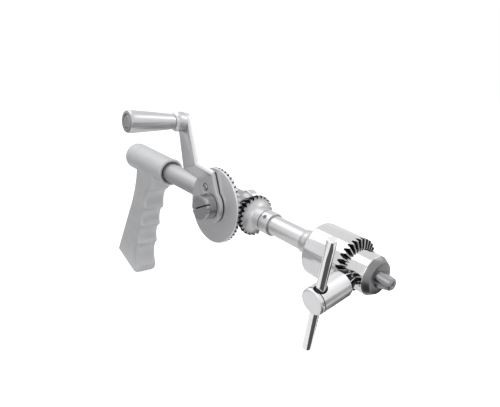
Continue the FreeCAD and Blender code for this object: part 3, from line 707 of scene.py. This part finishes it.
for i in range(3):
    out = around(2 * math.pi * i / 3)
    mesh = apply_cut(mesh, turn(KEY_HOLE, X_AXIS * KEY_X, out, steps=48))
    out = around(math.pi / 3 + 2 * math.pi * i / 3)
    back = out * math.sin(JAW_ANGLE) - X_AXIS * math.cos(JAW_ANGLE)
    mesh = apply_cut(mesh, turn(JAW_BORE, out * JAW_OFFSET, back, steps=48))
mark(mesh.faces, lambda p: p.x > nose_edge or p.yz.length < NOSE_R - WALL_INSET)
make(mesh, "chuck_nose", "chuck_body", polished, finishes["ground_steel"])

# %% [markdown]
# The jaws close on each other at the tip. Their eased edges along the drill are painted near
# black, as the shade in the three lines where the jaws meet. A bevel's own faces are
# known by being narrow.

# %% The jaws
JAW_EDGE = 0.18 * MM
NARROW = 0.2 * MM
for number in (1, 2, 3):
    node = "jaw_" + str(number)
    mesh = eased_copy(node, JAW_EDGE, corner=25)
    # Narrow edge faces along the drill are painted near black, as shade where the jaws meet.
    for face in mesh.faces:
        narrow = min(edge.calc_length() for edge in face.edges) < NARROW
        face.material_index = int(narrow and abs(face.normal.x) < EDGEWISE)
    make(mesh, node + "_eased", node, jaw_finish)

# %% [markdown]
# ## Bevel teeth
#
# A bevel tooth shrinks towards the point where the two shafts cross. So one outline of the
# toothed rim is enough: drawn once at the outer end, then extruded and scaled about that
# crossing point. The flank is an involute, drawn for one pitch only and spun into a full ring.
# The same steps make the crank gear, the pinion, the ring on the chuck and the key.

# %% The outline of one pitch
GEAR_MODULE = 25.4 / 24 * MM
KEY_MODULE = 1.0 * MM
GEAR_TEETH = 48
PINION_TEETH = 24
RING_TEETH = 30
KEY_TEETH = 10
BACKLASH = 0.18 * MM
PRESSURE = math.radians(20)
HEIGHTS = (1.0, 0.5, 0.0, -0.6, -1.25)


def involute(cosine):
    """The involute's own turn at a point whose pressure angle has this cosine."""
    angle = math.acos(min(1.0, cosine))
    return math.tan(angle) - angle


def one_pitch(module, teeth, mate):
    """Corners from the middle of one tooth tip to the next, apex at 0, gear axis along Z."""
    pitch_r = module * teeth / 2
    cone = math.atan2(teeth, mate)
    reach = pitch_r / math.sin(cone)
    back_r = pitch_r / math.cos(cone)
    base_r = back_r * math.cos(PRESSURE)
    half_gap = (math.pi * module + BACKLASH) / (4 * back_r) - involute(math.cos(PRESSURE))
    pitch_line = Vector((math.sin(cone), 0, math.cos(cone)))

    def corner(height, angle):
        rho = back_r + height * module
        along = reach * math.cos(cone) - height * module * math.sin(cone)
        point = Vector((rho * math.cos(cone), 0, along))
        point.rotate(Matrix.Rotation(angle, 3, "Z"))
        return point * (reach / point.dot(pitch_line))

    side = []
    for height in HEIGHTS:
        rho = back_r + height * module
        opened = half_gap + involute(base_r / rho)
        side.append((height, opened / math.cos(cone)))
    tip = math.pi / teeth
    corners = [(HEIGHTS[0], -tip)] + [(h, -a) for h, a in side]
    corners += [(h, a) for h, a in reversed(side)] + [(HEIGHTS[0], tip)]
    return [corner(h, a) for h, a in corners]


# %% [markdown]
# The outline of one pitch is spun in as many steps as there are teeth, with its start left
# standing. The loop of edges that comes of it is then extruded again and again, and each move
# carries the new corners to the next stage of the blank: towards the apex for a tooth gap, or
# out to a plain round rim. Gap walls are painted near black as they are made, as the shade
# between the teeth.

# %% Spin the outline into a ring, and draw it out loop by loop
PITCH_MERGE = 0.005 * MM
GEAR_MERGE = 0.002 * MM
TIP_SHARE = 0.93


def toothed_ring(module, teeth, mate, phase=0.0):
    """The closed outline of all the teeth, as a bmesh and its loop of edges."""
    mesh = bmesh.new()
    corners = [mesh.verts.new(p) for p in one_pitch(module, teeth, mate)]
    edges = [mesh.edges.new(pair) for pair in zip(corners, corners[1:])]
    bmesh.ops.rotate(mesh, cent=ORIGIN, matrix=Matrix.Rotation(phase, 3, "Z"), verts=corners)
    bmesh.ops.spin(
        mesh, geom=corners + edges, cent=ORIGIN, axis=Z_AXIS, dvec=(0, 0, 0),
        angle=2 * math.pi, steps=teeth, use_merge=False, use_duplicate=True)
    bmesh.ops.remove_doubles(mesh, verts=mesh.verts, dist=PITCH_MERGE)
    return mesh, mesh.edges[:]


def draw(mesh, loop, move, gap_cone=0.0):
    """Extrude a loop of edges, move its new corners, and return the new loop.

    New faces that lie inside the cone angle gap_cone are walls of tooth gaps, painted as shade.
    """
    grown = bmesh.ops.extrude_edge_only(mesh, edges=loop)["geom"]
    corners = {g for g in grown if isinstance(g, bmesh.types.BMVert)}
    for corner in corners:
        corner.co = move(corner.co.copy())
    walls = [g for g in grown if isinstance(g, bmesh.types.BMFace)]
    mark(walls, lambda p: math.atan2(p.xy.length, p.z) < gap_cone)
    edges = [g for g in grown if isinstance(g, bmesh.types.BMEdge)]
    return [e for e in edges if set(e.verts) <= corners]


def ring(radius, along):
    """A move that carries every corner to one radius and one height, keeping its angle."""

    def move(point):
        flat = point.xy.normalized() * radius
        return Vector((flat.x, flat.y, along))

    return move


def shrink(share):
    """A move along the teeth, towards the apex or away from it."""
    return lambda point: point * share


def to_radius(radius):
    """A move along the teeth until they meet a rim."""
    return lambda point: point * (radius / point.xy.length)


def tip_cone(teeth, mate):
    """The cone angle just inside the tips of the teeth."""
    cone = math.atan2(teeth, mate)
    return cone + TIP_SHARE * math.atan2(2 * math.sin(cone), teeth)


def seat(mesh, apex, axis, reference):
    """Stand a finished gear on its own shaft: Z goes to axis and X to reference."""
    across = axis.cross(reference)
    turn_to = Matrix((reference, across, axis)).transposed().to_4x4()
    bmesh.ops.remove_doubles(mesh, verts=mesh.verts, dist=GEAR_MERGE)
    bmesh.ops.recalc_face_normals(mesh, faces=mesh.faces)
    bmesh.ops.transform(mesh, matrix=Matrix.Translation(apex) @ turn_to, verts=mesh.verts)


# %% [markdown]
# The crank gear is a flat disc with its teeth on the back, and a web and a hub behind them. All
# of it grows from the ring of teeth: inwards over the web and hub to the bore, and outwards
# over the rim and the front face. The two bores are bridged, so the gear is one closed skin.
# The rim's small chamfer is ground, and painted lighter as a highlight on it.

# %% The crank gear
FACE_WIDTH = 7.0 * MM
WEB_R = 17.97 * MM
WEB_Z = 11.9 * MM
HUB_R = 9.5 * MM
HUB_Z = 10.8 * MM
RIM_EDGE = 0.4 * MM
TOOTH_EDGE = 0.10 * MM
low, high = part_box("crank_gear")
gear_cone = math.atan2(GEAR_TEETH, PINION_TEETH)
gear_near = 1 - FACE_WIDTH / (GEAR_MODULE * GEAR_TEETH / 2 / math.sin(gear_cone))
rim_r = GEAR_MODULE * GEAR_TEETH / 2 + GEAR_MODULE * math.cos(gear_cone)
bore_r = radius_of("crank_bush")
front_z = -low.y

gap_cone = tip_cone(GEAR_TEETH, PINION_TEETH)
mesh, heel = toothed_ring(GEAR_MODULE, GEAR_TEETH, PINION_TEETH)
toe = draw(mesh, heel, shrink(gear_near), gap_cone)
loop = draw(mesh, toe, ring(WEB_R, WEB_Z))
loop = draw(mesh, loop, ring(HUB_R, WEB_Z))
loop = draw(mesh, loop, ring(HUB_R, HUB_Z))
bore_back = draw(mesh, loop, ring(bore_r, HUB_Z))
loop = draw(mesh, heel, to_radius(rim_r), gap_cone)
loop = draw(mesh, loop, ring(rim_r, front_z - RIM_EDGE))
loop = draw(mesh, loop, ring(rim_r - RIM_EDGE, front_z))
bore_front = draw(mesh, loop, ring(bore_r, front_z))
bmesh.ops.bridge_loops(mesh, edges=bore_back + bore_front)
seat(mesh, axle, -Y_AXIS, X_AXIS)
# The chamfer of the rim's front edge is painted lighter, as a highlight.
for face in mesh.faces:
    if face.calc_center_median().y < low.y + RIM_EDGE and face.normal.y > -FACING:
        face.material_index = 2
break_edges(mesh, TOOTH_EDGE, segments=1, corner=40)
make(mesh, "bevel_gear", "crank_gear", third=ground_edge_highlight)

# %% [markdown]
# The pinion has 24 teeth on a narrow cone. In front it is dished down to a hub as thick as the
# collar beside it. Its teeth run out on the rim or on the front face, whichever they meet
# first, so one move takes the lesser of the two.

# %% The pinion, dished in front down to its hub
PINION_HUB_LENGTH = 9.2 * MM
BACK_HUB_R = 8.2 * MM
BACK_HUB_LENGTH = 1.6 * MM
DISH = ((11.6, 0.0), (10.6, 0.5), (8.9, 1.6), (7.9, 2.9))
DISH_DEPTH = 3.6 * MM
low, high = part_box("bevel_pinion")
pinion_cone = math.atan2(PINION_TEETH, GEAR_TEETH)
pinion_r = GEAR_MODULE * PINION_TEETH / 2 + GEAR_MODULE * math.cos(pinion_cone)
hub_front = high.x - axle.x
back_z = low.x - axle.x
face_z = hub_front - PINION_HUB_LENGTH
pinion_hub_r = radius_of("retaining_collar")


def to_pinion_rim(point):
    """Along the tooth until it meets the rim or the front face."""
    return point * min(pinion_r / point.xy.length, face_z / point.z)


def to_front_face(point):
    return Vector((point.x, point.y, face_z))


gap_cone = tip_cone(PINION_TEETH, GEAR_TEETH)
mesh, heel = toothed_ring(GEAR_MODULE, PINION_TEETH, GEAR_TEETH, math.pi / PINION_TEETH)
toe = draw(mesh, heel, shrink(gear_near), gap_cone)
loop = draw(mesh, toe, ring(BACK_HUB_R, back_z + BACK_HUB_LENGTH))
loop = draw(mesh, loop, ring(BACK_HUB_R, back_z))
back = draw(mesh, loop, ring(spindle_r, back_z))
loop = draw(mesh, heel, to_pinion_rim, gap_cone)
loop = draw(mesh, loop, to_front_face, gap_cone)
for radius, step in DISH:
    loop = draw(mesh, loop, ring(radius * MM, face_z + step * MM))
loop = draw(mesh, loop, ring(pinion_hub_r, face_z + DISH_DEPTH))
loop = draw(mesh, loop, ring(pinion_hub_r, hub_front))
front = draw(mesh, loop, ring(spindle_r, hub_front))
bmesh.ops.bridge_loops(mesh, edges=back + front)
seat(mesh, axle, X_AXIS, -Y_AXIS)
break_edges(mesh, TOOTH_EDGE, segments=1, corner=40)
make(mesh, "pinion", "bevel_pinion", gear_satin)

# %% [markdown]
# A collar with rounded edges holds the pinion in place. Its outline is a closed loop of four
# points, so the spin gives a ring with a bore. The hole of its grub screw is cut through one
# side, where the screw's own solid stands.

# %% The collar in front of the pinion
COLLAR_EDGE = 0.4 * MM
SCREW_HOLE = rod_outline(0, 12.0 * MM, 1.5 * MM)
low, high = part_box("retaining_collar")
outline = [(low.x, spindle_r), (low.x, pinion_hub_r), (high.x, pinion_hub_r), (high.x, spindle_r)]
mesh = turn(outline + outline[:1], ORIGIN, X_AXIS)
break_edges(mesh, COLLAR_EDGE, segments=3)
screw = middle("collar_screw")
screw_out = Vector((0, screw.y, screw.z)).normalized()
mesh = apply_cut(mesh, turn(SCREW_HOLE, X_AXIS * screw.x, screw_out, steps=32))
make(mesh, "spindle_collar", "retaining_collar")

# %% [markdown]
# ## The chuck sleeve
#
# The sleeve's front face is a ring of bevel teeth whose apex lies where the key's axis meets
# the chuck's. Its outside is polished, so a little rounding at the rear rim matters more than
# anything else: that is where the long highlight ends.

# %% The sleeve with its ring of teeth
NOSE_BORE = 11.1 * MM
BODY_BORE = 13.65 * MM
NUT_PLAY = 0.3 * MM
REAR_ROUND = 2.0 * MM
ROUND_STEPS = ((0.15, 1.1), (0.7, 0.35), (1.5, 0.0))
low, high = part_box("chuck_sleeve")
sleeve_r = radius_of("chuck_sleeve")
key_apex = X_AXIS * KEY_X
key_out = around(0)
step_z = key_apex.x - nut_high.x - NUT_PLAY
rear_z = key_apex.x - low.x

gap_cone = tip_cone(RING_TEETH, KEY_TEETH)
mesh, heel = toothed_ring(KEY_MODULE, RING_TEETH, KEY_TEETH)
outer = draw(mesh, heel, to_radius(sleeve_r), gap_cone)
inner = draw(mesh, heel, to_radius(NOSE_BORE), gap_cone)
loop = draw(mesh, outer, ring(sleeve_r, rear_z - REAR_ROUND))
for inset, step in ROUND_STEPS:
    loop = draw(mesh, loop, ring(sleeve_r - inset * MM, rear_z - step * MM))
rear = draw(mesh, loop, ring(BODY_BORE, rear_z))
loop = draw(mesh, inner, ring(NOSE_BORE, step_z))
loop = draw(mesh, loop, ring(BODY_BORE, step_z))
bmesh.ops.bridge_loops(mesh, edges=loop + rear)
seat(mesh, key_apex, -X_AXIS, key_out)
break_edges(mesh, TOOTH_EDGE, segments=1, corner=40)
make(mesh, "sleeve", "chuck_sleeve", polished)

# %% [markdown]
# ## The chuck key
#
# The key is a short bar with ten bevel teeth, a pilot that finds the hole in the chuck and a
# countersunk cross hole. The tooth gaps run out on the round shank, where the cutter left it.
# Heights are measured outwards from the point where the key's axis meets the chuck's.

# %% The key
SHANK_R = 7.1 * MM
SHANK_START = 17.6 * MM
PILOT_R = 2.7 * MM
PILOT_STEP = 11.4 * MM
PILOT_END = 6.9 * MM
PILOT_EDGE = 0.5 * MM
RUN_OUT = 1.11
KEY_END = 39.5 * MM
KEY_HEAD = (
    (7.1, 2.6), (6.8, 2.3), (7.1, 2.0), (7.1, 1.1), (7.0, 0.7), (6.8, 0.4), (6.4, 0.12), (5.8, 0.0))
gap_cone = tip_cone(KEY_TEETH, RING_TEETH)
mesh, heel = toothed_ring(KEY_MODULE, KEY_TEETH, RING_TEETH, math.pi / KEY_TEETH)


def to_pilot_step(point):
    return point * (PILOT_STEP / point.z)


inner = draw(mesh, heel, to_pilot_step, gap_cone)
loop = draw(mesh, inner, ring(PILOT_R, PILOT_STEP))
loop = draw(mesh, loop, ring(PILOT_R, PILOT_END + PILOT_EDGE))
loop = draw(mesh, loop, ring(PILOT_R - PILOT_EDGE, PILOT_END))
bmesh.ops.holes_fill(mesh, edges=loop, sides=0)
loop = draw(mesh, heel, shrink(RUN_OUT), gap_cone)
loop = draw(mesh, loop, ring(SHANK_R, SHANK_START), gap_cone)
for radius, back_off in KEY_HEAD:
    loop = draw(mesh, loop, ring(radius * MM, KEY_END - back_off * MM))
end_faces = bmesh.ops.holes_fill(mesh, edges=loop, sides=0)["faces"]
mark(end_faces, lambda p: False)
seat(mesh, key_apex, key_out, -X_AXIS)
print("key to height", KEY_END, "teeth", KEY_TEETH)

# %% [markdown]
# The cross hole goes right through the shank and is countersunk at both ends. One spun cutter
# makes hole and countersinks together. Faces that lie on its wall, and those of the thin groove
# behind the key's end, are painted near black as the shade inside them.

# %% The cross hole
HOLE_R = 2.5 * MM
HOLE_HALF = 5.5 * MM
CUTTER_HALF = 9.0 * MM
WALL_MARGIN = 0.03 * MM
GROOVE_NEAR = 1.98 * MM
GROOVE_FAR = 2.62 * MM
key_down = key_out.cross(-X_AXIS)
bar_axis = (-X_AXIS * math.sin(BAR_LEAN) + key_down * math.cos(BAR_LEAN)).normalized()
bar_middle = middle("key_bar")
wide_r = HOLE_R + CUTTER_HALF - HOLE_HALF
hole = [
    (-CUTTER_HALF, 0), (-CUTTER_HALF, wide_r), (-HOLE_HALF, HOLE_R), (HOLE_HALF, HOLE_R),
    (CUTTER_HALF, wide_r), (CUTTER_HALF, 0)]
cutter = turn(hole, bar_middle, bar_axis, steps=64)


def shaded(point):
    """On the wall of the cross hole or of the thin groove behind the end."""
    step = point - bar_middle
    along = abs(step.dot(bar_axis))
    wall_r = HOLE_R + max(0.0, along - HOLE_HALF)
    in_hole = (step - bar_axis * step.dot(bar_axis)).length < wall_r + WALL_MARGIN
    height = (point - key_apex).dot(key_out)
    in_groove = KEY_END - GROOVE_FAR < height < KEY_END - GROOVE_NEAR
    return in_hole or in_groove


mesh = apply_cut(mesh, cutter)
# Faces of the hole and the groove are painted near black as shade.
for face in mesh.faces:
    if all(shaded(corner.co) for corner in face.verts):
        face.material_index = 1
make(mesh, "key", "key_shank", key_polish)

# %% [markdown]
# ## The chuck key's cross bar
#
# The bar is bright chromed rod with rounded ends. It stands across the key, so it lies along
# the axis of the cross hole. A bevel of four segments makes each end round.

# %% The cross bar
BAR_R = 2.49 * MM
BAR_HALF = 38.0 * MM
BAR_EDGE = 0.6 * MM
mesh = turn(rod_outline(-BAR_HALF, BAR_HALF, BAR_R), bar_middle, bar_axis, steps=64)
break_edges(mesh, BAR_EDGE, segments=4)
make(mesh, "cross_bar", "key_bar")

# %% [markdown]
# ## Floor, light and camera
#
# The photo is a cut-out on white, lit from all round. A pale floor carries a soft shadow. The
# world is white wherever the camera or a reflection sees it, and grey for the light it gives,
# so that the metals have something bright to mirror and still keep their form.

# %% The floor
FLOOR_GAP = 1.0 * MM
FLOOR_HALF = 6.0
FLOOR_GREY = 0.92
FLOOR_GLOW = 0.80
FLOOR_MIRRORED = 0.40
CHALKY = 0.9
floor_mesh = bmesh.new()
bmesh.ops.create_grid(floor_mesh, x_segments=1, y_segments=1, size=FLOOR_HALF)
floor_data = bpy.data.meshes.new("floor")
floor_mesh.to_mesh(floor_data)
floor_mesh.free()
floor_data.transform(Matrix.Translation((0, 0, cad_low.z - FLOOR_GAP)))
floor = bpy.data.objects.new("floor", floor_data)
bpy.context.scene.collection.objects.link(floor)
floor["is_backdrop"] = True


def seen_or_mirrored(nodes, links, mirrored=1.0):
    """1 for what the camera sees, mirrored for what metal shows, and 0 for the light it gives."""
    path = nodes.new("ShaderNodeLightPath")
    dimmed = nodes.new("ShaderNodeMath")
    dimmed.operation = "MULTIPLY"
    dimmed.inputs[1].default_value = mirrored
    links.new(path.outputs["Is Glossy Ray"], dimmed.inputs[0])
    level = dimmed.outputs[0]
    for ray in ("Is Camera Ray", "Is Transmission Ray"):
        either = nodes.new("ShaderNodeMath")
        either.operation = "MAXIMUM"
        links.new(level, either.inputs[0])
        links.new(path.outputs[ray], either.inputs[1])
        level = either.outputs[0]
    return level


def chalk(name, grey):
    """A plain matt grey, for the floor and the cards."""
    material = bpy.data.materials.new(name)
    material.use_nodes = True
    coat = material.node_tree.nodes["Principled BSDF"]
    coat.inputs["Base Color"].default_value = (grey, grey, grey, 1)
    coat.inputs["Roughness"].default_value = CHALKY
    return material


floor_paint = chalk("floor white", FLOOR_GREY)
nodes = floor_paint.node_tree.nodes
links = floor_paint.node_tree.links
shader = nodes["Principled BSDF"]
shader.inputs["Emission Color"].default_value = (1, 1, 1, 1)
glow = nodes.new("ShaderNodeMath")
glow.operation = "MULTIPLY"
glow.inputs[1].default_value = FLOOR_GLOW
links.new(seen_or_mirrored(nodes, links, FLOOR_MIRRORED), glow.inputs[0])
links.new(glow.outputs[0], shader.inputs["Emission Strength"])
floor_data.materials.append(floor_paint)
print("floor at z", round(cad_low.z - FLOOR_GAP, 4))

# %% [markdown]
# The world is two backgrounds. The camera, and any metal that mirrors the world, see the white
# one. The light that falls on the drill comes from the grey one, so it stays gentle. The kind
# of ray chooses between them, which one lamp for everything couldn't do.

# %% The world: white to look at, grey as a lamp
WORLD_LIGHT = 0.40
world = bpy.data.worlds.new("studio")
bpy.context.scene.world = world
world.use_nodes = True
nodes = world.node_tree.nodes
links = world.node_tree.links
nodes.clear()
seen = nodes.new("ShaderNodeBackground")
seen.inputs["Color"].default_value = (1, 1, 1, 1)
lamp = nodes.new("ShaderNodeBackground")
lamp.inputs["Color"].default_value = (WORLD_LIGHT, WORLD_LIGHT, WORLD_LIGHT, 1)
choose = nodes.new("ShaderNodeMixShader")
links.new(seen_or_mirrored(nodes, links), choose.inputs[0])
links.new(lamp.outputs[0], choose.inputs[1])
links.new(seen.outputs[0], choose.inputs[2])
sky = nodes.new("ShaderNodeOutputWorld")
links.new(choose.outputs[0], sky.inputs["Surface"])
print("world light", WORLD_LIGHT)

# %% [markdown]
# Three soft rectangular lamps light the drill: a key light over the chuck, a weaker one from
# the front and one from behind. A round bar mirrors a lamp as a long stripe, and that stripe
# stays straight only if the lamp has a side along the bar, so each lamp is turned to the
# spindle's axis.

# %% Lamps


def softbox(name, place, size, power, aim):
    """A soft lamp that faces aim, with its first side as near as it can be to the spindle's axis."""
    data = bpy.data.lights.new(name, "AREA")
    data.shape = "RECTANGLE"
    data.size, data.size_y = size
    data.energy = power
    lamp_object = bpy.data.objects.new(name, data)
    bpy.context.scene.collection.objects.link(lamp_object)
    back = (Vector(place) - Vector(aim)).normalized()
    side = (X_AXIS - back * X_AXIS.dot(back)).normalized()
    facing = Matrix((side, back.cross(side), back)).transposed().to_4x4()
    lamp_object.matrix_world = Matrix.Translation(place) @ facing


subject = (cad_low + cad_high) / 2
chuck = Vector((-0.03, 0, 0))
softbox("key light", chuck + Vector((-0.34, -0.14, 0.45)), (0.62, 0.42), 0.80, chuck)
softbox("fill light", (0.10, -0.75, 0.45), (0.45, 0.45), 0.7, subject)
softbox("top light", subject + Vector((0.18, 0.42, 0.46)), (0.24, 0.40), 0.45, subject)
print("lamps", len(bpy.data.lights))

# %% [markdown]
# Bright metal is drawn by what it mirrors. Three dark cards give the grip, the sleeve, the disc
# and the bar their dark sides, and a large pale card keeps the chuck's left side from going
# white. The camera doesn't see them, and they cast no shadow.

# %% Cards that the bright metal mirrors


def card(name, place, size, aim, paint):
    """A flat sheet that faces aim, seen in reflections alone."""
    width, height = size
    sheet = bmesh.new()
    bmesh.ops.create_grid(sheet, x_segments=1, y_segments=1, size=0.5)
    bmesh.ops.scale(sheet, vec=(width, height, 1), verts=sheet.verts)
    facing = (Vector(aim) - Vector(place)).to_track_quat("-Z", "Y").to_matrix()
    bmesh.ops.rotate(sheet, cent=ORIGIN, matrix=facing, verts=sheet.verts)
    bmesh.ops.translate(sheet, vec=place, verts=sheet.verts)
    data = bpy.data.meshes.new(name)
    sheet.to_mesh(data)
    sheet.free()
    data.materials.append(paint)
    thing = bpy.data.objects.new(name, data)
    bpy.context.scene.collection.objects.link(thing)
    thing.visible_camera = False
    thing.visible_shadow = False
    thing.visible_diffuse = False
    thing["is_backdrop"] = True


def lying_card(name, x, y, size, paint):
    """A card that lies on the floor and faces up."""
    card(name, (x, y, cad_low.z), size, (x, y, 0), paint)


black = chalk("card black", 0.04)
dark = chalk("card dark", 0.12)
pale = chalk("card grey", 0.76)
right_height = cad_low.z + 0.07
card("right card", (0.33, 0.12, right_height), (0.45, 0.13), (0, 0.12, right_height), black)
lying_card("floor card", 0.0625, -0.0625, (0.155, 0.195), dark)
lying_card("back card", -0.02, 0.16, (0.22, 0.18), black)
lying_card("left card", -0.51, -0.38, (0.66, 0.70), pale)
print("materials with the stage", len(bpy.data.materials))

# %% [markdown]
# The camera stands beyond the chuck's end of the drill, on the crank's side and a little above,
# with a wide lens. Its place and its three directions were found from the drill's own axes and
# its two gear discs as they appear in the picture.

# %% The camera at the photo's angle
SENSOR_WIDTH = 36.0
LENS = 33.794
NEAREST = 0.005
CAMERA_PLACE = Vector((0.106398, -0.201734, 0.102662))
CAMERA_RIGHT = Vector((0.64139, 0.75738, 0.12245))
CAMERA_UP = Vector((-0.31203, 0.11170, 0.94348))
CAMERA_BACK = Vector((0.70090, -0.64335, 0.30797))
camera_data = bpy.data.cameras.new("camera")
camera_data.sensor_width = SENSOR_WIDTH
camera_data.lens = LENS
camera_data.clip_start = NEAREST
camera = bpy.data.objects.new("camera", camera_data)
bpy.context.scene.collection.objects.link(camera)
facing = Matrix((CAMERA_RIGHT, CAMERA_UP, CAMERA_BACK)).transposed().to_4x4()
camera.matrix_world = Matrix.Translation(CAMERA_PLACE) @ facing
bpy.context.scene.camera = camera
bpy.context.scene.view_settings.view_transform = "Standard"
print("camera at", CAMERA_PLACE)

# %% [markdown]
# The box of the finished pieces is measured as well, beside the box of the solids.

# %% Measure the box of the finished pieces
low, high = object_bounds()
